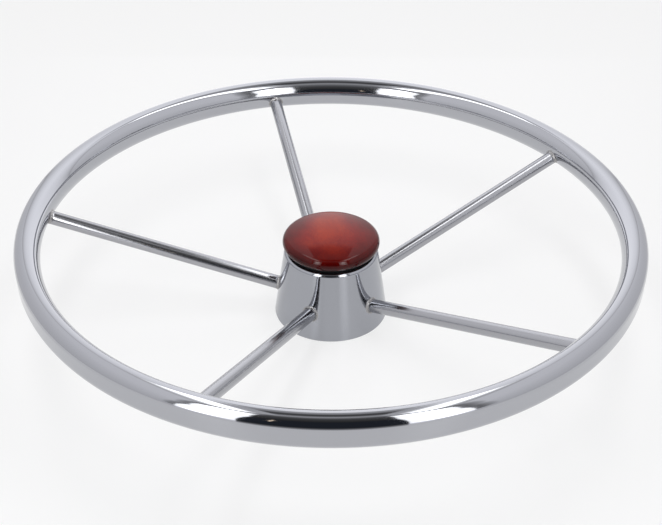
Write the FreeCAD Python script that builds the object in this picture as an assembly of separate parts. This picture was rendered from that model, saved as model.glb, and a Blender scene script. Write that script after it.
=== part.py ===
import FreeCAD, Part
import math
import os

# A boat steering wheel, welded up from polished stainless steel, with a turned wooden cap.
# Lengths are millimetres and angles are degrees. The origin is the centre of the hub's
# back face. +Z runs along the wheel's axis towards the helm, and one spoke lies on +Y.

# Rim: a round tube pressed to an oval and bent into a ring. Its outer side is flat, and
# its inner side swells past the corners in one wide curve.
wheel_diameter = 400.0
rim_width = 15.6
rim_depth = 21.6
rim_swell = 1.8
rim_mid_height = 67.0

# Spokes: round bars, dished forward from the hub to the rim
spoke_count = 5
first_spoke_angle = 90.0
spoke_diameter = 9.0
spoke_hub_height = 18.6
spoke_rim_drop = 2.7

# Welds: small polished fillets
spoke_weld_leg = 1.1
spoke_weld_length = 1.6
plate_weld_leg = 1.2

# Hub: a conical shell, closed at the back by a plate that carries the boss
hub_base_diameter = 75.5
hub_top_diameter = 61.0
hub_height = 50.0
hub_edge_radius = 4.0
hub_wall = 2.0
base_plate_thickness = 3.0
base_plate_recess = 2.0

# Boss: bored for a tapered and keyed shaft
boss_diameter = 34.0
boss_height = 30.0
boss_chamfer = 0.8
shaft_diameter = 19.05
shaft_taper = 1.0 / 12.0
keyway_width = 6.35
keyway_depth = 3.2

# Cap: a domed disc with a spigot that pushes into the hub, gripped by a rubber ring
cap_diameter = 63.5
cap_edge_radius = 4.4
cap_crown_rise = 3.2
cap_opening_diameter = 46.0
spigot_clearance = 0.3
spigot_length = 6.5
nut_space_diameter = 32.0
nut_space_depth = 9.0
cap_ring_width = 2.4
cap_ring_bite = 1.0

# Sizes worked out from those above
rim_radius = (wheel_diameter - rim_width) / 2
rim_corner_radius = (rim_width - rim_swell) / 2
rim_corner_level = rim_depth / 2 - rim_corner_radius
rim_corner_centre = wheel_diameter / 2 - rim_corner_radius
rim_reach = (rim_swell**2 + rim_corner_level**2) / 2 / rim_swell
rim_inner_radius = rim_corner_radius + rim_reach
rim_inner_centre = rim_corner_centre + rim_reach - rim_swell
spoke_radius = spoke_diameter / 2
hub_slope = (hub_base_diameter - hub_top_diameter) / 2 / hub_height
hub_wall_across = hub_wall * math.hypot(1.0, hub_slope)
hub_radius_at_spoke = hub_base_diameter / 2 - hub_slope * spoke_hub_height
spoke_run = rim_radius - hub_radius_at_spoke
spoke_climb = rim_mid_height - spoke_rim_drop - spoke_hub_height
spoke_length = math.hypot(spoke_run, spoke_climb)
spoke_rise_angle = math.degrees(math.atan2(spoke_climb, spoke_run))
rise_run = spoke_run / spoke_length
rise_climb = spoke_climb / spoke_length
inner_centre_out = rim_inner_centre - rim_radius
inner_centre_along = inner_centre_out * rise_run + spoke_rim_drop * rise_climb
inner_centre_beside = spoke_rim_drop * rise_run - inner_centre_out * rise_climb
inner_reach = math.sqrt(rim_inner_radius**2 - inner_centre_beside**2)
rim_surface = spoke_length + inner_centre_along - inner_reach
opening_radius = cap_opening_diameter / 2
spigot_radius = opening_radius - spigot_clearance
overrun = 5.0

Z_AXIS = FreeCAD.Vector(0, 0, 1)
ORIGIN = FreeCAD.Vector(0, 0, 0)


def at(radius, height):
    """A point of a profile, given by its distance from the axis and its height."""
    return FreeCAD.Vector(radius, 0, height)


def polar(radius, angle):
    """A step in a profile, with its angle measured up from level."""
    return at(radius * math.cos(math.radians(angle)), radius * math.sin(math.radians(angle)))


def line(start, end):
    return Part.LineSegment(start, end).toShape()


def arc(start, middle, end):
    return Part.Arc(start, middle, end).toShape()


def turned(edges):
    """A solid turned about the Z axis from a closed profile."""
    return Part.Face(Part.Wire(edges)).revolve(ORIGIN, Z_AXIS, 360)


def turned_polygon(points):
    return turned([line(a, b) for a, b in zip(points, points[1:] + points[:1])])


def edges_at(solid, height):
    """The edges that lie wholly at one height."""
    return [e for e in solid.Edges if all(abs(v.Z - height) < 1e-6 for v in e.Vertexes)]


def rim_tube():
    """A ring of oval section, drawn solid: the sealed bore of the tube isn't shown."""
    outer = wheel_diameter / 2
    upper = at(rim_corner_centre, rim_mid_height + rim_corner_level)
    lower = at(rim_corner_centre, rim_mid_height - rim_corner_level)
    inner_centre = at(rim_inner_centre, rim_mid_height)
    turn = math.degrees(math.atan2(rim_corner_level, rim_corner_centre - rim_inner_centre))
    upper_end = upper + polar(rim_corner_radius, turn)
    lower_end = lower + polar(rim_corner_radius, -turn)
    return turned([
        arc(at(outer, upper.z), upper + polar(rim_corner_radius, turn / 2), upper_end),
        arc(upper_end, inner_centre + polar(rim_inner_radius, 180), lower_end),
        arc(lower_end, lower + polar(rim_corner_radius, -turn / 2), at(outer, lower.z)),
        line(at(outer, lower.z), at(outer, upper.z)),
    ])


def hub_radius(height):
    return hub_base_diameter / 2 - hub_slope * height


def hub_blank():
    """The hub's outer form: a cone with a rounded top edge."""
    cone = Part.makeCone(hub_radius(0), hub_radius(hub_height), hub_height)
    return cone.makeFillet(hub_edge_radius, edges_at(cone, hub_height))


def hub_inside():
    """The space inside the shell, which runs out through its open back."""
    top = hub_height - hub_wall
    radius_below = hub_radius(-overrun) - hub_wall_across
    radius_top = hub_radius(top) - hub_wall_across
    cone = Part.makeCone(radius_below, radius_top, top + overrun, at(0, -overrun))
    return cone.makeChamfer(hub_edge_radius / 2, edges_at(cone, top))


def hub_shell():
    opening = Part.makeCylinder(opening_radius, hub_height + overrun)
    return hub_blank().cut(hub_inside()).cut(opening)


def shaft_radius(height):
    return shaft_diameter / 2 - shaft_taper / 2 * height


def shaft_boss():
    """A turned boss with a tapered bore, and a keyway in line with the top spoke."""
    boss = Part.makeCylinder(boss_diameter / 2, boss_height)
    boss = boss.makeChamfer(boss_chamfer, edges_at(boss, 0) + edges_at(boss, boss_height))
    low = -overrun
    high = boss_height + overrun
    bore = Part.makeCone(shaft_radius(low), shaft_radius(high), high - low, at(0, low))
    side = -keyway_width / 2
    keyway_corners = [
        FreeCAD.Vector(side, 0, low),
        FreeCAD.Vector(side, shaft_radius(low) + keyway_depth, low),
        FreeCAD.Vector(side, shaft_radius(high) + keyway_depth, high),
        FreeCAD.Vector(side, 0, high),
    ]
    outline = Part.makePolygon(keyway_corners + keyway_corners[:1])
    keyway = Part.Face(outline).extrude(FreeCAD.Vector(keyway_width, 0, 0))
    return boss.cut(bore).cut(keyway)


def hub_base_plate():
    """A disc that closes the back of the shell and fits around the boss."""
    slab = Part.makeCylinder(hub_base_diameter, base_plate_thickness, at(0, base_plate_recess))
    hole = Part.makeCylinder(boss_diameter / 2, hub_height)
    return hub_inside().common(slab).cut(hole)


def base_weld():
    """A fillet in the corner between the base plate and the shell."""
    top = base_plate_recess
    bottom = base_plate_recess - plate_weld_leg
    shell_top = hub_radius(top) - hub_wall_across
    shell_bottom = hub_radius(bottom) - hub_wall_across
    return turned_polygon([
        at(shell_top - plate_weld_leg, top),
        at(shell_top, top),
        at(shell_bottom, bottom),
    ])


def boss_weld():
    """A fillet in the corner between the base plate and the boss."""
    return turned_polygon([
        at(boss_diameter / 2, base_plate_recess),
        at(boss_diameter / 2 + plate_weld_leg, base_plate_recess),
        at(boss_diameter / 2, base_plate_recess - plate_weld_leg),
    ])


def crown_radius(edge_centre_radius):
    """The radius of a crown that rises as stated and runs smoothly into the round edge."""
    return (edge_centre_radius**2 + cap_crown_rise**2) / (2 * cap_crown_rise) + cap_edge_radius


def cap():
    """A domed disc with a full round edge, on a spigot that is grooved and bored."""
    edge_centre = at(cap_diameter / 2 - cap_edge_radius, hub_height + cap_edge_radius)
    radius = crown_radius(edge_centre.x)
    lean = math.degrees(math.asin(edge_centre.x / (radius - cap_edge_radius)))
    crown_top = at(0, edge_centre.z + cap_edge_radius + cap_crown_rise)
    crown_centre = crown_top - at(0, radius)
    crown_middle = crown_centre + polar(radius, 90 - lean / 2)
    crown_end = edge_centre + polar(cap_edge_radius, 90 - lean)
    seat_edge = edge_centre + polar(cap_edge_radius, -90)
    spigot_end = hub_height - spigot_length
    nut_space_end = spigot_end + nut_space_depth
    body = turned([
        arc(crown_top, crown_middle, crown_end),
        arc(crown_end, edge_centre + polar(cap_edge_radius, 0), seat_edge),
        line(seat_edge, at(spigot_radius, hub_height)),
        line(at(spigot_radius, hub_height), at(spigot_radius, spigot_end)),
        line(at(spigot_radius, spigot_end), at(nut_space_diameter / 2, spigot_end)),
        line(at(nut_space_diameter / 2, spigot_end), at(nut_space_diameter / 2, nut_space_end)),
        line(at(nut_space_diameter / 2, nut_space_end), at(0, nut_space_end)),
        line(at(0, nut_space_end), crown_top),
    ])
    return body.cut(cap_ring())


def cap_ring():
    """The rubber ring in the spigot's groove, which snaps past the shell's opening."""
    top = hub_height - hub_wall
    bottom = top - cap_ring_width
    outer = opening_radius + cap_ring_bite / 2
    inner = spigot_radius - cap_ring_bite
    return turned_polygon([at(inner, bottom), at(outer, bottom), at(outer, top), at(inner, top)])


def along_spoke(solid, angle):
    """Turn a solid made along +Z, from the hub's surface outwards, onto a spoke's axis."""
    solid.rotate(ORIGIN, FreeCAD.Vector(0, 1, 0), 90 - spoke_rise_angle)
    solid.translate(at(hub_radius_at_spoke, spoke_hub_height))
    solid.rotate(ORIGIN, Z_AXIS, angle)
    return solid


def spoke(angle):
    """A round bar, its ends shaped to the hub's cone and the rim's oval."""
    bar = Part.makeCylinder(spoke_radius, overrun + spoke_length, at(0, -overrun))
    return along_spoke(bar, angle).cut(hub_blank()).cut(rim_tube())


def bead(tip, foot):
    """A fillet around a bar: nothing at its tip, and a full leg from its foot onwards."""
    past = foot + math.copysign(overrun, foot - tip)
    full = spoke_radius + spoke_weld_leg
    return turned_polygon([
        at(spoke_radius, tip),
        at(full, foot),
        at(full, past),
        at(spoke_radius, past),
    ])


def hub_weld(angle):
    return along_spoke(bead(spoke_weld_length, 0), angle).cut(hub_blank())


def rim_weld(angle):
    return along_spoke(bead(rim_surface - spoke_weld_length, rim_surface), angle).cut(rim_tube())


def all_parts():
    parts = {
        "rim_tube": rim_tube(),
        "hub_shell": hub_shell(),
        "hub_base_plate": hub_base_plate(),
        "shaft_boss": shaft_boss(),
        "base_weld": base_weld(),
        "boss_weld": boss_weld(),
        "cap": cap(),
        "cap_ring": cap_ring(),
    }
    for number in range(spoke_count):
        angle = first_spoke_angle + 360 / spoke_count * number
        parts[f"spoke_{number + 1}"] = spoke(angle)
        parts[f"hub_weld_{number + 1}"] = hub_weld(angle)
        parts[f"rim_weld_{number + 1}"] = rim_weld(angle)
    return parts


os.makedirs("parts", exist_ok=True)
for name, shape in all_parts().items():
    if len(shape.Solids) == 1:
        shape = shape.Solids[0]
    shape.exportStep(f"parts/{name}.step")
    print(name, len(shape.Solids), shape.isValid(), round(shape.Volume, 1))
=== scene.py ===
import math

import bpy
from mathutils import Matrix, Vector


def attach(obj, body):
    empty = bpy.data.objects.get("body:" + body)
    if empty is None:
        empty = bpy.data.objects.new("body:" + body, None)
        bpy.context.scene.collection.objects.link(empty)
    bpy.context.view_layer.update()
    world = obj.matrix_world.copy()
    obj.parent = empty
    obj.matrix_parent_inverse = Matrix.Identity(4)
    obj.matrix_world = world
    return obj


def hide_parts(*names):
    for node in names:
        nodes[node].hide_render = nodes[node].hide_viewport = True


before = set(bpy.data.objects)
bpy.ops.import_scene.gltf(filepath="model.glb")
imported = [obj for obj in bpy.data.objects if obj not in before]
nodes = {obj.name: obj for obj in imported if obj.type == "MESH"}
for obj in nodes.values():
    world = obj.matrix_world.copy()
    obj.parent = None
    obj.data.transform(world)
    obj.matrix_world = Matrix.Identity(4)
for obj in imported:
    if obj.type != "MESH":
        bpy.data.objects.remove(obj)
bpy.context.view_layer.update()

MM = 0.001

# Sizes of the wheel, in millimetres, as in the CAD
wheel_diameter = 400.0
rim_width = 15.6
rim_depth = 21.6
rim_swell = 1.8
rim_mid_height = 67.0
spoke_count = 5
first_spoke_angle = 90.0
spoke_radius = 4.5
spoke_hub_height = 18.6
spoke_rim_drop = 2.7
weld_leg = 1.1
weld_length = 1.6
hub_base_radius = 37.75
hub_top_radius = 30.5
hub_height = 50.0
hub_wall = 2.0
opening_radius = 23.0
cap_radius = 31.75
cap_edge_radius = 4.4
cap_crown_rise = 3.2
spigot_radius = 22.7
spigot_length = 6.5
nut_space_radius = 16.0
nut_space_depth = 9.0

# How the cap sits, in millimetres: on a rubber ring, above a round lip at the hub's top. The
# cap's underside turns in from its edge by steps that each go so far inwards and so far down.
hub_lip_height = 48.2
hub_lip_radius = 2.6
ring_radius = 27.8
ring_edge_radius = 0.5
ring_gap = 0.02
ring_spigot_gap = 0.3
cap_underside = 50.4
cap_turn = [(0.35, 0.25), (0.90, 0.35)]

# Small steps that take the sharpness off edges, in millimetres
edge_break = 0.2
foot_break = 0.35
foot_step = 0.1
inner_chamfer = 2.0
spigot_break = 0.4
nut_space_break = 0.3

# How deep the hidden ends of the bars and the fillets go into their neighbours, in
# millimetres, and how far from the ends of a spoke's line its surfaces are looked for
spoke_sink = 0.8
weld_sink = 0.5
search_inside_hub = 8.0
search_outside_hub = 12.0
search_before_rim = 22.0

# Steps round the turned pieces, and along their profiles
rim_segments = 1000
hub_segments = 432
cap_segments = 288
rim_curve_steps = 26
rim_flat_steps = 6
hub_side_steps = 60
hub_lip_steps = 24
ring_edge_steps = 6
cap_dome_steps = 40
cap_edge_steps = 36

# Sizes worked out from those above
rim_radius = (wheel_diameter - rim_width) / 2
rim_corner_radius = (rim_width - rim_swell) / 2
rim_corner_level = rim_depth / 2 - rim_corner_radius
rim_corner_centre = wheel_diameter / 2 - rim_corner_radius
rim_reach = (rim_swell ** 2 + rim_corner_level ** 2) / 2 / rim_swell
rim_inner_radius = rim_corner_radius + rim_reach
rim_inner_centre = rim_corner_centre + rim_reach - rim_swell
rim_bend = math.atan2(rim_corner_level, rim_corner_centre - rim_inner_centre)
hub_slope = (hub_base_radius - hub_top_radius) / hub_height
hub_lean = math.atan(hub_slope)
cap_top = hub_height + 2 * cap_edge_radius + cap_crown_rise


# Meshes

def new_piece(name, points, faces, material, replaced, slot):
    mesh = bpy.data.meshes.new(name)
    mesh.from_pydata([Vector(p) * MM for p in points], [], faces)
    mesh.update()
    mesh.shade_smooth()
    piece = bpy.data.objects.new(name, mesh)
    bpy.context.scene.collection.objects.link(piece)
    mesh.materials.append(material)
    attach(piece, "root")
    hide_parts(*replaced)


def arc_points(centre, radius, start, end, steps):
    """Points of a profile along an arc; angles in degrees, measured up from level."""
    angles = [math.radians(start + (end - start) * i / steps) for i in range(steps + 1)]
    return [(centre[0] + radius * math.cos(a), centre[1] + radius * math.sin(a)) for a in angles]


def line_points(start, end, steps):
    """Points of a profile strictly between two others."""
    return [
        (start[0] + (end[0] - start[0]) * i / steps, start[1] + (end[1] - start[1]) * i / steps)
        for i in range(1, steps)
    ]


def swept(profile, segments):
    """The points of a profile at each step of a turn about Z."""
    points = []
    for k in range(segments):
        turn = 2 * math.pi * k / segments
        points += [(r * math.cos(turn), r * math.sin(turn), z) for r, z in profile]
    return points


def turned(profile, segments):
    """Points and faces of a closed profile turned about Z."""
    count = len(profile)
    faces = []
    for k in range(segments):
        here = k * count
        there = (k + 1) % segments * count
        for i in range(count):
            j = (i + 1) % count
            faces.append((here + i, there + i, there + j, here + j))
    return swept(profile, segments), faces


def turned_from_axis(profile, segments):
    """As turned, for an open profile whose two ends lie on the axis and become poles."""
    between = profile[1:-1]
    poles = [(0, 0, profile[0][1]), (0, 0, profile[-1][1])]
    count = len(between)
    faces = []
    for k in range(segments):
        here = 2 + k * count
        there = 2 + (k + 1) % segments * count
        faces.append((0, here, there))
        faces.append((1, there + count - 1, here + count - 1))
        for i in range(count - 1):
            faces.append((here + i, here + i + 1, there + i + 1, there + i))
    return poles + swept(between, segments), faces


def rim_profile():
    """The rim's section: flat outside, round corners and one wide curve inside."""
    bend = math.degrees(rim_bend)
    outer = wheel_diameter / 2
    upper = (rim_corner_centre, rim_mid_height + rim_corner_level)
    lower = (rim_corner_centre, rim_mid_height - rim_corner_level)
    middle = (rim_inner_centre, rim_mid_height)
    top = arc_points(upper, rim_corner_radius, 0, bend, rim_curve_steps)
    inside = arc_points(middle, rim_inner_radius, bend, 360 - bend, rim_curve_steps)
    bottom = arc_points(lower, rim_corner_radius, 360 - bend, 360, rim_curve_steps)
    outside = line_points((outer, lower[1]), (outer, upper[1]), rim_flat_steps)
    return top + inside[1:-1] + bottom + outside


def hub_radius(height):
    return hub_base_radius - hub_slope * height


def hub_profile():
    """The shell's section, from the foot up the outside and down the inside."""
    across = hub_wall * math.hypot(1, hub_slope)
    reach = hub_lip_radius * math.tan((math.pi / 2 - hub_lean) / 2)
    lip_centre = (hub_radius(hub_lip_height) - reach, hub_lip_height - hub_lip_radius)
    side_foot = (hub_radius(foot_break), foot_break)
    side_top = (
        lip_centre[0] + hub_lip_radius * math.cos(hub_lean),
        lip_centre[1] + hub_lip_radius * math.sin(hub_lean),
    )
    foot = [
        (hub_radius(0) - across + edge_break, 0.0),
        (hub_radius(0) - foot_break, 0.0),
        (hub_radius(foot_step) - foot_step, foot_step),
        side_foot,
    ]
    side = line_points(side_foot, side_top, hub_side_steps)
    lip = arc_points(lip_centre, hub_lip_radius, math.degrees(hub_lean), 90, hub_lip_steps)
    below_top = hub_height - hub_wall
    ceiling = below_top - hub_wall
    inside = [
        (opening_radius + edge_break, hub_lip_height),
        (opening_radius, hub_lip_height - edge_break),
        (opening_radius, ceiling + edge_break),
        (opening_radius + edge_break, ceiling),
        (hub_radius(below_top) - across - inner_chamfer, ceiling),
        (hub_radius(ceiling - inner_chamfer) - across, ceiling - inner_chamfer),
    ]
    return foot + side + lip + inside


def ring_profile():
    """The rubber ring between the hub's lip and the cap, with rounded outer edges."""
    soft = ring_edge_radius
    inner = spigot_radius + ring_spigot_gap
    low = hub_lip_height + ring_gap
    high = cap_underside - cap_turn[-1][1] - ring_gap
    outer = arc_points((ring_radius - soft, low + soft), soft, -90, 0, ring_edge_steps)
    outer += arc_points((ring_radius - soft, high - soft), soft, 0, 90, ring_edge_steps)
    return [(inner, low)] + outer + [(inner, high)]


def cap_profile():
    """The cap's section: a dome, a round edge, a flat underside on the ring, and the spigot."""
    edge_centre = (cap_radius - cap_edge_radius, hub_height + cap_edge_radius)
    crown = (edge_centre[0] ** 2 + cap_crown_rise ** 2) / (2 * cap_crown_rise) + cap_edge_radius
    lean = math.degrees(math.asin(edge_centre[0] / (crown - cap_edge_radius)))
    turn_under = math.degrees(math.asin((cap_underside - edge_centre[1]) / cap_edge_radius))
    dome = arc_points((0, cap_top - crown), crown, 90, 90 - lean, cap_dome_steps)
    edge = arc_points(edge_centre, cap_edge_radius, 90 - lean, turn_under, cap_edge_steps)
    corner = edge[-1][0]
    under = [(corner - inwards, cap_underside - down) for inwards, down in cap_turn]
    under += [(ring_radius + edge_break, under[-1][1]), (spigot_radius, under[-1][1])]
    spigot_end = hub_height - spigot_length
    nut_space_end = spigot_end + nut_space_depth
    below = [
        (spigot_radius, spigot_end + spigot_break),
        (spigot_radius - spigot_break, spigot_end),
        (nut_space_radius + nut_space_break, spigot_end),
        (nut_space_radius, spigot_end + nut_space_break),
        (nut_space_radius, nut_space_end),
        (0, nut_space_end),
    ]
    return dome + edge[1:] + under + below


class Spoke:
    """The straight line of one spoke, with the surfaces that it meets at its ends."""

    def __init__(self, degrees):
        turn = math.radians(degrees)
        out = Vector((math.cos(turn), math.sin(turn), 0))
        self.start = out * hub_radius(spoke_hub_height) + Vector((0, 0, spoke_hub_height))
        finish = out * rim_radius + Vector((0, 0, rim_mid_height - spoke_rim_drop))
        self.length = (finish - self.start).length
        self.along = (finish - self.start).normalized()
        self.side = Vector((0, 0, 1)).cross(out)
        self.up = self.along.cross(self.side)

    def point(self, radius, turn, along):
        across = self.side * math.cos(turn) + self.up * math.sin(turn)
        return self.start + across * radius + self.along * along

    @staticmethod
    def outside_hub(p):
        return (math.hypot(p.x, p.y) - hub_radius(p.z)) * math.cos(hub_lean)

    @staticmethod
    def outside_rim(p):
        level = abs(p.z - rim_mid_height)
        radius = math.hypot(p.x, p.y)
        if math.atan2(level, radius - rim_inner_centre) > rim_bend:
            return math.hypot(radius - rim_inner_centre, level) - rim_inner_radius
        past_corner = max(0.0, level - rim_corner_level)
        return math.hypot(radius - rim_corner_centre, past_corner) - rim_corner_radius

    def where(self, surface, radius, turn, low, high, depth):
        """How far along a line beside the spoke it lies at a given depth in a surface."""
        rising = surface(self.point(radius, turn, high)) > surface(self.point(radius, turn, low))
        halvings = 50
        for _ in range(halvings):
            middle = (low + high) / 2
            above = surface(self.point(radius, turn, middle)) > -depth
            if above == rising:
                high = middle
            else:
                low = middle
        return (low + high) / 2

    def at_hub(self, radius, turn, depth=0.0):
        low = -search_inside_hub
        high = search_outside_hub
        return self.where(self.outside_hub, radius, turn, low, high, depth)

    def at_rim(self, radius, turn, depth=0.0):
        low = self.length - search_before_rim
        high = self.length
        return self.where(self.outside_rim, radius, turn, low, high, depth)


def tube_faces(rings, around):
    faces = []
    for i in range(rings - 1):
        for k in range(around):
            j = (k + 1) % around
            faces.append((i * around + k, i * around + j, (i + 1) * around + j, (i + 1) * around + k))
    return faces


def spoke_mesh(spoke, around=64, rings=48):
    """A round bar whose ends are sunk a little into the hub and the rim."""
    points = []
    for i in range(rings):
        share = i / (rings - 1)
        for k in range(around):
            turn = 2 * math.pi * k / around
            low = spoke.at_hub(spoke_radius, turn, spoke_sink)
            high = spoke.at_rim(spoke_radius, turn, spoke_sink)
            points.append(spoke.point(spoke_radius, turn, low + (high - low) * share))
    last = (rings - 1) * around
    ends = [tuple(reversed(range(around))), tuple(range(last, last + around))]
    return points, tube_faces(rings, around) + ends


def weld_mesh(spoke, at_hub, around=96, steps=12):
    """A hollow-faced fillet round a spoke, from the bar's side out to the surface it meets."""
    sign = 1 if at_hub else -1
    meet = spoke.at_hub if at_hub else spoke.at_rim
    outer = spoke_radius + weld_leg
    inner = spoke_radius - weld_sink
    points = []
    for k in range(around):
        turn = 2 * math.pi * k / around
        corner_at = meet(spoke_radius, turn)
        tip_at = corner_at + sign * weld_length
        tip = spoke.point(spoke_radius, turn, tip_at)
        corner = spoke.point(spoke_radius, turn, corner_at)
        toe = spoke.point(outer, turn, meet(outer, turn))
        for i in range(steps + 1):
            t = i / steps
            points.append(tip * (1 - t) ** 2 + corner * (2 * t * (1 - t)) + toe * t ** 2)
        points.append(spoke.point(outer, turn, meet(outer, turn, weld_sink)))
        points.append(spoke.point(inner, turn, meet(inner, turn, weld_sink)))
        points.append(spoke.point(inner, turn, tip_at))
    count = steps + 4
    faces = []
    for k in range(around):
        here = k * count
        there = (k + 1) % around * count
        for i in range(count):
            j = (i + 1) % count
            face = (here + i, there + i, there + j, here + j)
            faces.append(face if at_hub else tuple(reversed(face)))
    return points, faces


# Nodes of the materials

def new_material(name):
    material = bpy.data.materials.new(name)
    material.use_nodes = True
    tree = material.node_tree
    return material, tree, tree.nodes["Principled BSDF"]


def noise(tree, coordinate, scale, detail, rough=0.5):
    node = tree.nodes.new("ShaderNodeTexNoise")
    node.inputs["Scale"].default_value = scale
    node.inputs["Detail"].default_value = detail
    node.inputs["Roughness"].default_value = rough
    tree.links.new(coordinate, node.inputs["Vector"])
    return node.outputs["Fac"]


def place(tree, scale=(1, 1, 1), turn=0.0):
    """Object coordinates, stretched and turned about Z."""
    coordinates = tree.nodes.new("ShaderNodeTexCoord")
    mapping = tree.nodes.new("ShaderNodeMapping")
    mapping.inputs["Scale"].default_value = scale
    mapping.inputs["Rotation"].default_value = (0, 0, turn)
    tree.links.new(coordinates.outputs["Object"], mapping.inputs["Vector"])
    return mapping.outputs["Vector"]


def along_axis(tree, coordinate, axis, low, high):
    """How far a place lies from low to high along one axis, from 0 to 1."""
    split = tree.nodes.new("ShaderNodeSeparateXYZ")
    tree.links.new(coordinate, split.inputs["Vector"])
    return ranged(tree, split.outputs[axis], low, high, 0, 1)


def ranged(tree, value, low, high, out_low, out_high):
    node = tree.nodes.new("ShaderNodeMapRange")
    node.inputs["From Min"].default_value = low
    node.inputs["From Max"].default_value = high
    node.inputs["To Min"].default_value = out_low
    node.inputs["To Max"].default_value = out_high
    tree.links.new(value, node.inputs["Value"])
    return node.outputs["Result"]


def bump(tree, height, distance):
    node = tree.nodes.new("ShaderNodeBump")
    node.inputs["Distance"].default_value = distance
    node.inputs["Strength"].default_value = 1
    tree.links.new(height, node.inputs["Height"])
    return node.outputs["Normal"]


def ramp(tree, value, stops):
    node = tree.nodes.new("ShaderNodeValToRGB")
    elements = node.color_ramp.elements
    while len(elements) < len(stops):
        elements.new(0.5)
    for element, (position, colour) in zip(elements, stops):
        element.position = position
        element.color = (*colour, 1)
    tree.links.new(value, node.inputs["Fac"])
    return node.outputs["Color"]


def blended(tree, first, second, share):
    node = tree.nodes.new("ShaderNodeMix")
    node.inputs["Factor"].default_value = share
    tree.links.new(first, node.inputs[2])
    tree.links.new(second, node.inputs[3])
    return node.outputs[0]


def multiplied(tree, colour, layer):
    node = tree.nodes.new("ShaderNodeMix")
    node.data_type = "RGBA"
    node.blend_type = "MULTIPLY"
    node.inputs["Factor"].default_value = 1
    tree.links.new(colour, node.inputs["A"])
    tree.links.new(layer, node.inputs["B"])
    return node.outputs["Result"]


def scaled_and_added(tree, value, factor, added):
    node = tree.nodes.new("ShaderNodeMath")
    node.operation = "MULTIPLY_ADD"
    tree.links.new(value, node.inputs[0])
    node.inputs[1].default_value = factor
    tree.links.new(added, node.inputs[2])
    return node.outputs[0]


def seen_or_mirrored(tree):
    """1 on the rays of the camera, of reflections and of clear materials, 0 on all others."""
    path = tree.nodes.new("ShaderNodeLightPath")
    seen = path.outputs["Is Camera Ray"]
    for output in ("Is Glossy Ray", "Is Transmission Ray"):
        either = tree.nodes.new("ShaderNodeMath")
        either.operation = "MAXIMUM"
        tree.links.new(seen, either.inputs[0])
        tree.links.new(path.outputs[output], either.inputs[1])
        seen = either.outputs[0]
    return seen


# Materials

def uneven(tree, shader, scale, detail, smooth, dull):
    """Roughness that drifts between two values from place to place."""
    drift = noise(tree, place(tree), scale, detail)
    tree.links.new(ranged(tree, drift, 0.3, 0.7, smooth, dull), shader.inputs["Roughness"])


def metal(name, colour):
    material, tree, shader = new_material(name)
    shader.inputs["Base Color"].default_value = (*colour, 1)
    shader.inputs["Metallic"].default_value = 1
    return material, tree, shader


def polished_steel(name, colour, smooth, dull, wave):
    """Steel whose polish and flatness vary a little over some centimetres."""
    material, tree, shader = metal(name, colour)
    uneven(tree, shader, scale=12, detail=1, smooth=smooth, dull=dull)
    waves = noise(tree, place(tree), scale=20, detail=0)
    tree.links.new(bump(tree, waves, wave), shader.inputs["Normal"])
    return material


def machined_steel():
    """Steel as it leaves the lathe, with a fine grain."""
    material, tree, shader = metal("machined_steel", (0.55, 0.55, 0.56))
    uneven(tree, shader, scale=400, detail=4, smooth=0.22, dull=0.38)
    grain = noise(tree, place(tree), scale=900, detail=3)
    tree.links.new(bump(tree, grain, 0.00005), shader.inputs["Normal"])
    return material


def wood_figure(tree, grain_turn):
    """Soft clouds and flames in the wood, with fine pores."""
    cloud = noise(tree, place(tree, scale=(30, 22, 12)), scale=1.5, detail=3)
    pores = noise(tree, place(tree, scale=(800, 420, 420)), scale=1.0, detail=3, rough=0.6)
    flame = tree.nodes.new("ShaderNodeTexWave")
    flame.inputs["Scale"].default_value = 6.2
    flame.inputs["Distortion"].default_value = 2.2
    flame.inputs["Detail"].default_value = 1.5
    flame.inputs["Detail Scale"].default_value = 1.2
    flame.inputs["Phase Offset"].default_value = math.pi + 0.3
    tree.links.new(place(tree, turn=grain_turn), flame.inputs["Vector"])
    figure = blended(tree, cloud, flame.outputs["Fac"], share=0.30)
    return scaled_and_added(tree, pores, 0.16, figure)


def lacquered_wood():
    """Red wood under a clear and glossy lacquer, darker towards its lower edge, with painted shade that
    darkens its front.
    """
    material, tree, shader = new_material("lacquered_wood")
    grain_turn = math.radians(13.5)
    colour = ramp(tree, wood_figure(tree, grain_turn), [
        (0.36, (0.19, 0.002, 0.001)),
        (0.56, (0.30, 0.009, 0.003)),
        (0.78, (0.50, 0.042, 0.006)),
    ])
    upwards = along_axis(tree, place(tree), "Z", hub_height * MM, cap_top * MM)
    # Darker from the crown down to the lower edge and the underside.
    lower_edge_darkening = ramp(tree, upwards, [
        (0.0, (0.10, 0.01, 0.01)),
        (0.12, (0.26, 0.03, 0.03)),
        (0.36, (0.36, 0.07, 0.09)),
        (0.60, (0.52, 0.20, 0.25)),
        (0.76, (0.72, 0.46, 0.52)),
        (0.90, (1.0, 1.0, 1.0)),
    ])
    # Painted shade: the cap is darker towards its front, the side that faces the camera, along the same
    # turn as the grain.
    cap_reach = 0.032
    backwards = along_axis(tree, place(tree, turn=grain_turn), "Y", -cap_reach, cap_reach)
    painted_front_shade = ramp(tree, backwards, [
        (0.0, (0.35, 0.16, 0.18)),
        (0.19, (0.52, 0.38, 0.40)),
        (0.38, (0.74, 0.66, 0.66)),
        (0.60, (0.74, 0.70, 0.76)),
        (1.0, (0.76, 0.84, 1.0)),
    ])
    # Both layers multiply the wood's colour: the darkening towards the lower edge and the painted front
    # shade.
    for darkening in (lower_edge_darkening, painted_front_shade):
        colour = multiplied(tree, colour, darkening)
    tree.links.new(colour, shader.inputs["Base Color"])
    shader.inputs["Roughness"].default_value = 0.6
    shader.inputs["Specular IOR Level"].default_value = 0
    shader.inputs["Coat Weight"].default_value = 1
    shader.inputs["Coat Roughness"].default_value = 0.015
    shader.inputs["Coat IOR"].default_value = 1.30
    return material


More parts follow.
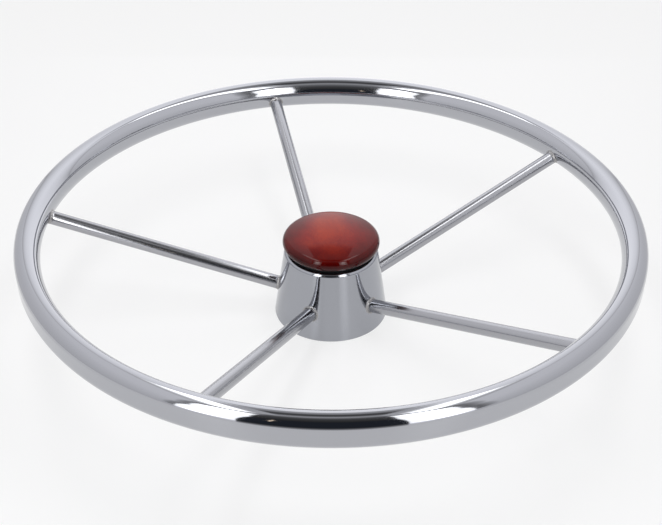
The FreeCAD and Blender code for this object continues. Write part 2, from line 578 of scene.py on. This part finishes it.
def black_rubber():
    material, tree, shader = new_material("black_rubber")
    shader.inputs["Base Color"].default_value = (0.012, 0.012, 0.013, 1)
    shader.inputs["Specular IOR Level"].default_value = 0.2
    uneven(tree, shader, scale=500, detail=3, smooth=0.5, dull=0.7)
    return material


rim_steel = polished_steel("polished_steel", (0.43, 0.437, 0.465), smooth=0.055, dull=0.07, wave=0.00002)
hub_steel = polished_steel("buffed_steel", (0.36, 0.37, 0.40), smooth=0.08, dull=0.13, wave=0.00003)
bar_steel = polished_steel("brushed_steel", (0.38, 0.384, 0.405), smooth=0.15, dull=0.19, wave=0.00002)
weld_steel = polished_steel("weld_steel", (0.34, 0.334, 0.336), smooth=0.24, dull=0.30, wave=0.00004)
satin_steel = machined_steel()
wood = lacquered_wood()
rubber = black_rubber()


# Pieces

new_piece("rim", *turned(rim_profile(), rim_segments), rim_steel, ["rim_tube"], "polished_steel")
new_piece("hub", *turned(hub_profile(), hub_segments), hub_steel, ["hub_shell"], "polished_steel")
new_piece("turned_cap", *turned_from_axis(cap_profile(), cap_segments), wood, ["cap"], "lacquered_wood")
new_piece("cap_seat_ring", *turned(ring_profile(), cap_segments), rubber, ["cap_ring"], "black_rubber")
for number in range(1, spoke_count + 1):
    line = Spoke(first_spoke_angle + 360 / spoke_count * (number - 1))
    bar = spoke_mesh(line)
    hub_fillet = weld_mesh(line, at_hub=True)
    rim_fillet = weld_mesh(line, at_hub=False)
    new_piece(f"bar_{number}", *bar, bar_steel, [f"spoke_{number}"], "polished_steel")
    new_piece(f"hub_fillet_{number}", *hub_fillet, weld_steel, [f"hub_weld_{number}"], "polished_steel")
    new_piece(f"rim_fillet_{number}", *rim_fillet, weld_steel, [f"rim_weld_{number}"], "polished_steel")


def dress(node, material):
    slots = nodes[node].material_slots
    if len(slots) == 0:
        nodes[node].data.materials.append(material)
    for slot in slots:
        slot.material = material


for node in ("hub_base_plate", "shaft_boss", "base_weld", "boss_weld"):
    dress(node, satin_steel)

# Camera: it looks down at the wheel from the front. Its view is turned a little about the
# wheel's axis, so that the spoke that points back stands left of the middle. Its distance is
# in metres, from the centre of the rim.
view_turn = math.radians(-13.5)
camera_distance = 0.7570
camera_elevation = math.radians(32.821)
camera_pitch = math.radians(34.739)
camera_yaw = math.radians(0.052)
camera_roll = math.radians(0.245)
focal_pixels = 1169.03
frame_width = 662
shift_pixels = 0.9
sensor_width = 36
rim_centre = Vector((0, 0, rim_mid_height * MM))


def add_camera():
    turn = Matrix.Rotation(view_turn, 3, "Z")
    look = turn @ Vector((
        math.sin(camera_yaw) * math.cos(camera_pitch),
        math.cos(camera_yaw) * math.cos(camera_pitch),
        -math.sin(camera_pitch),
    ))
    right = look.cross(Vector((0, 0, 1))).normalized()
    up = right.cross(look)
    rolled_right = right * math.cos(camera_roll) + up * math.sin(camera_roll)
    rolled_up = up * math.cos(camera_roll) - right * math.sin(camera_roll)
    lens = bpy.data.cameras.new("camera")
    lens.sensor_width = sensor_width
    lens.lens = sensor_width * focal_pixels / frame_width
    lens.shift_x = -shift_pixels / frame_width
    lens.shift_y = shift_pixels / frame_width
    lens.clip_start = 0.01
    camera = bpy.data.objects.new("camera", lens)
    back = camera_distance * math.cos(camera_elevation)
    high = camera_distance * math.sin(camera_elevation)
    spot = turn @ Vector((0, -back, high)) + rim_centre
    axes = Matrix((rolled_right, rolled_up, -look)).transposed()
    camera.matrix_world = Matrix.Translation(spot) @ axes.to_4x4()
    bpy.context.scene.collection.objects.link(camera)
    bpy.context.scene.camera = camera


add_camera()

# Studio: a pale floor inside a light tent, 0.76 m wide and 0.8 m deep. Its front wall has a
# dark slit that the camera looks through, with a bright strip each side of it. Above 0.25 m
# the wall leans in towards the roof, where the strips go on after a grey gap. The tent shows
# only in reflections, and lamps give the light. Places are in metres, in a frame that faces
# the camera and has its origin at the centre of the rim.
studio = Matrix.Rotation(view_turn, 4, "Z") @ Matrix.Translation(rim_centre)
tent_side = 0.38
tent_front = -0.40
tent_back = 0.40
tent_top = 0.70
table = -rim_mid_height * MM
floor_reach = 4
strip_foot = 0.0
lean_foot = 0.25
lean_break_height = 0.51
roof_front = -0.22
strips = {"left": (-0.327, -0.162), "right": (0.131, 0.290)}
roof_strips = {"left": (-0.36, -0.185), "right": (0.16, 0.34)}
dark_band = (-0.128, 0.122)
dark_band_foot = 0.42
sheet_gap = 0.002

# Light of the tent: its tints and its levels. The level of every panel is multiplied by the
# tent's, and the front strips have strip_light and lean_light along their middles.
cool = (1.0, 1.0, 1.03)
plain = (1.0, 1.0, 1.0)
warm = (1.3, 1.05, 0.8)
dark = (0.020, 0.023, 0.030)
tent_level = 1.29
strip_light = 4.0
lean_light = 6.0
strip_edge_level = 1.7
strip_soft_level = 2.4
strip_soft_share = 0.18
strip_full_share = 0.35

# Lamps: power for each square metre, and where they stand and how long they are, in metres
front_lamp_power = 4.0
front_lamp_height = 0.30
front_lamp_length = 0.6
top_lamp_power = 13.0
top_lamp_depth = 0.08
top_lamp_length = 0.62


def glow(name, tint, strength=1.0, axis=None, stops=None):
    """Light of a panel: even, or going from stop to stop along one of the studio's axes."""
    material = bpy.data.materials.new(name)
    material.use_nodes = True
    tree = material.node_tree
    tree.nodes.remove(tree.nodes["Principled BSDF"])
    shine = tree.nodes.new("ShaderNodeEmission")
    shine.inputs["Color"].default_value = (*tint, 1)
    shine.inputs["Strength"].default_value = strength * tent_level
    tree.links.new(shine.outputs["Emission"], tree.nodes["Material Output"].inputs["Surface"])
    if stops:
        start, end = stops[0][0], stops[-1][0]
        share = along_axis(tree, place(tree), axis, start, end)
        colour = ramp(tree, share, [
            ((spot - start) / (end - start), [c * level / strength for c in tint])
            for spot, level in stops
        ])
        tree.links.new(colour, shine.inputs["Color"])
    return material


def softbox(name, span, core):
    """A strip that is brightest along its middle."""
    low, high = span
    soft = strip_soft_share * (high - low)
    full = strip_full_share * (high - low)
    return glow(name, plain, core, "X", [
        (low, strip_edge_level), (low + soft, strip_soft_level), (low + full, core),
        (high - full, core), (high - soft, strip_soft_level), (high, strip_edge_level),
    ])


def stage_mesh(name, corners, material):
    mesh = bpy.data.meshes.new(name)
    mesh.from_pydata(corners, [], [(0, 1, 2, 3)])
    mesh.materials.append(material)
    made = bpy.data.objects.new(name, mesh)
    made.matrix_world = studio
    bpy.context.scene.collection.objects.link(made)
    return made


def reflected_only(made):
    made.visible_camera = False
    made.visible_diffuse = False
    made.visible_shadow = False


def sheet(name, sides, start, end, material):
    """A panel between two places across the studio, from one (depth, height) to another."""
    left, right = sides
    corners = [(left, *start), (right, *start), (right, *end), (left, *end)]
    reflected_only(stage_mesh(name, corners, material))


def wall(name, x, material):
    low_front, low_back = (x, tent_front, table), (x, tent_back, table)
    high_back, high_front = (x, tent_back, tent_top), (x, tent_front, tent_top)
    reflected_only(stage_mesh(name, [low_front, low_back, high_back, high_front], material))


def tent_panels():
    """The tent's walls, roof, slit and strips. Stops pair a place in metres with a level."""
    roof_frame = glow("roof_frame", cool, 0.54)
    lean_gap = glow("lean_gap", cool, 0.40)
    slit_dark = glow("slit_dark", dark)
    wall_glow = glow("wall_glow", cool, 1, "Z", [
        (table, 0.58), (0.0, 0.62), (0.1, 0.68), (0.3, 0.78), (0.7, 0.80),
    ])
    back_glow = glow("back_glow", cool, 1.2, "X", [
        (-0.38, 0.46), (-0.345, 0.68), (-0.29, 0.84), (-0.20, 1.0), (-0.05, 1.13),
        (0.05, 1.13), (0.20, 1.0), (0.29, 0.84), (0.345, 0.68), (0.38, 0.46),
    ])
    slit_upper = glow("slit_upper", cool, 1, "Z", [(lean_foot, 0.03), (0.45, 0.08), (tent_top, 0.28)])
    strip_feet = glow("strip_feet", cool, 2, "Z", [
        (table, 0.72), (-0.04, 0.85), (-0.015, 1.1), (strip_foot, 1.9),
    ])
    slit_feet = glow("slit_feet", cool, 1, "Z", [
        (table, 0.50), (-0.045, 0.28), (-0.02, 0.12), (strip_foot, 0.04),
    ])
    edges = {
        "left": glow("edge_left", cool, 1, "X", [(-0.38, 0.60), (-0.345, 0.24), (-0.327, 0.24)]),
        "right": glow("edge_right", cool, 1, "X", [(0.290, 0.20), (0.32, 0.20), (0.38, 0.60)]),
    }
    roof_glows = {
        "left": glow("roof_strip_left", plain, strip_light, "X", [
            (-0.36, 0.55), (-0.33, 0.9), (-0.30, 1.5), (-0.27, 3.5),
            (-0.22, 3.5), (-0.20, 1.4), (-0.185, 0.5),
        ]),
        "right": glow("roof_strip_right", plain, strip_light, "X", [
            (0.16, 0.5), (0.19, 1.4), (0.215, 3.5), (0.26, 3.5),
            (0.29, 1.5), (0.315, 0.9), (0.34, 0.55),
        ]),
    }

    lean = (roof_front - tent_front) / (tent_top - lean_foot)
    front_table = (tent_front, table)
    front_foot = (tent_front, strip_foot)
    front_lean = (tent_front, lean_foot)
    lean_break = (tent_front + lean * (lean_break_height - lean_foot), lean_break_height)
    front_top = (roof_front, tent_top)
    back_top = (tent_back, tent_top)
    back_table = (tent_back, table)
    sheet("tent_back", (-tent_side, tent_side), back_table, back_top, back_glow)
    for side, sign, outermost in (("left", -1, 0), ("right", 1, 1)):
        strip, roof_strip, edge = strips[side], roof_strips[side], edges[side]
        outer = sign * tent_side
        beside = (outer, strip[outermost])
        low_glow = softbox(f"strip_glow_{side}", strip, strip_light)
        lean_glow = softbox(f"lean_glow_{side}", strip, lean_light)
        wall(f"tent_{side}", outer, wall_glow)
        sheet(f"strip_foot_{side}", strip, front_table, front_foot, strip_feet)
        sheet(f"foot_{side}", beside, front_table, front_foot, wall_glow)
        sheet(f"strip_{side}", strip, front_foot, front_lean, low_glow)
        sheet(f"edge_{side}", beside, front_foot, front_lean, edge)
        sheet(f"strip_lean_{side}", strip, front_lean, lean_break, lean_glow)
        sheet(f"strip_break_{side}", strip, lean_break, front_top, lean_gap)
        sheet(f"edge_lean_{side}", beside, front_lean, front_top, edge)
        sheet(f"strip_roof_{side}", roof_strip, front_top, back_top, roof_glows[side])
        sheet(f"edge_roof_{side}", (outer, roof_strip[outermost]), front_top, back_top, roof_frame)
    slit = (strips["left"][1], strips["right"][0])
    roof_slit = (roof_strips["left"][1], roof_strips["right"][0])
    sheet("slit_foot", slit, front_table, front_foot, slit_feet)
    sheet("slit", slit, front_foot, front_lean, slit_dark)
    sheet("slit_lean", slit, front_lean, front_top, slit_upper)
    sheet("roof_frame", roof_slit, front_top, back_top, roof_frame)


def tent_details():
    """What hangs just inside the tent: a dark band on its roof and back, and two warm lamps."""
    roof_dark = glow("roof_dark", cool, 1, "Y", [
        (roof_front, 0.46), (-0.12, 0.30), (-0.03, 0.09), (0.08, 0.07),
        (0.19, 0.17), (0.30, 0.34), (0.40, 0.42),
    ])
    back_dark = glow("back_dark", cool, 1.2, "Z", [
        (dark_band_foot, 1.1), (0.50, 0.55), (0.58, 0.42), (0.70, 0.42),
    ])
    lamp_warm = glow("lamp_warm", warm)
    under_roof = tent_top - sheet_gap
    before_back = tent_back - sheet_gap
    behind_front = tent_front + sheet_gap
    sheet("roof_dark", dark_band, (roof_front, under_roof), (tent_back, under_roof), roof_dark)
    sheet("back_dark", dark_band, (before_back, dark_band_foot), (before_back, under_roof), back_dark)
    sheet("warm_left", (-0.108, -0.102), (behind_front, 0.13), (behind_front, 0.21), lamp_warm)
    sheet("warm_right", (0.052, 0.058), (-0.382, 0.30), (-0.33, 0.43), lamp_warm)


def strip_lamp(name, middle, size, rotation, power):
    """An area lamp, its power given for each square metre."""
    lamp = bpy.data.lights.new(name, "AREA")
    lamp.shape = "RECTANGLE"
    lamp.size, lamp.size_y = size
    lamp.energy = power * size[0] * size[1]
    made = bpy.data.objects.new(name, lamp)
    made.matrix_world = studio @ Matrix.Translation(middle) @ rotation
    made.visible_camera = False
    made.visible_glossy = False
    bpy.context.scene.collection.objects.link(made)


def strip_lamps():
    facing_back = Matrix.Rotation(math.radians(90), 4, "X")
    facing_down = Matrix.Identity(4)
    for side, (low, high) in strips.items():
        middle = (low + high) / 2
        front = (middle, tent_front, front_lamp_height)
        front_size = (high - low, front_lamp_length)
        top = (middle, top_lamp_depth, tent_top)
        top_size = (high - low, top_lamp_length)
        strip_lamp(f"lamp_front_{side}", front, front_size, facing_back, front_lamp_power)
        strip_lamp(f"lamp_top_{side}", top, top_size, facing_down, top_lamp_power)


def pale_floor():
    """A pale floor that looks whiter where it is seen or mirrored, and keeps its shadows."""
    material, tree, shader = new_material("pale_floor")
    shader.inputs["Base Color"].default_value = (0.88, 0.88, 0.885, 1)
    shader.inputs["Roughness"].default_value = 0.25
    shader.inputs["Specular IOR Level"].default_value = 0.4
    white = tree.nodes.new("ShaderNodeEmission")
    white.inputs["Color"].default_value = (1, 1, 1, 1)
    whiter = ranged(tree, seen_or_mirrored(tree), 0, 1, 0, 0.66)
    blend = tree.nodes.new("ShaderNodeMixShader")
    tree.links.new(whiter, blend.inputs["Fac"])
    tree.links.new(shader.outputs["BSDF"], blend.inputs[1])
    tree.links.new(white.outputs["Emission"], blend.inputs[2])
    tree.links.new(blend.outputs["Shader"], tree.nodes["Material Output"].inputs["Surface"])
    r = floor_reach
    stage_mesh("floor", [(-r, -r, table), (r, -r, table), (r, r, table), (-r, r, table)], material)


def studio_world():
    """An even light on the object, and white where it is seen or mirrored."""
    world = bpy.data.worlds.new("studio")
    bpy.context.scene.world = world
    world.use_nodes = True
    tree = world.node_tree
    light = tree.nodes.new("ShaderNodeMix")
    light.data_type = "RGBA"
    light.inputs["A"].default_value = (0.55, 0.55, 0.56, 1)
    light.inputs["B"].default_value = (1.0, 1.0, 1.0, 1)
    tree.links.new(seen_or_mirrored(tree), light.inputs["Factor"])
    tree.links.new(light.outputs["Result"], tree.nodes["Background"].inputs["Color"])


tent_panels()
tent_details()
strip_lamps()
pale_floor()
studio_world()
bpy.context.scene.view_settings.view_transform = "Standard"
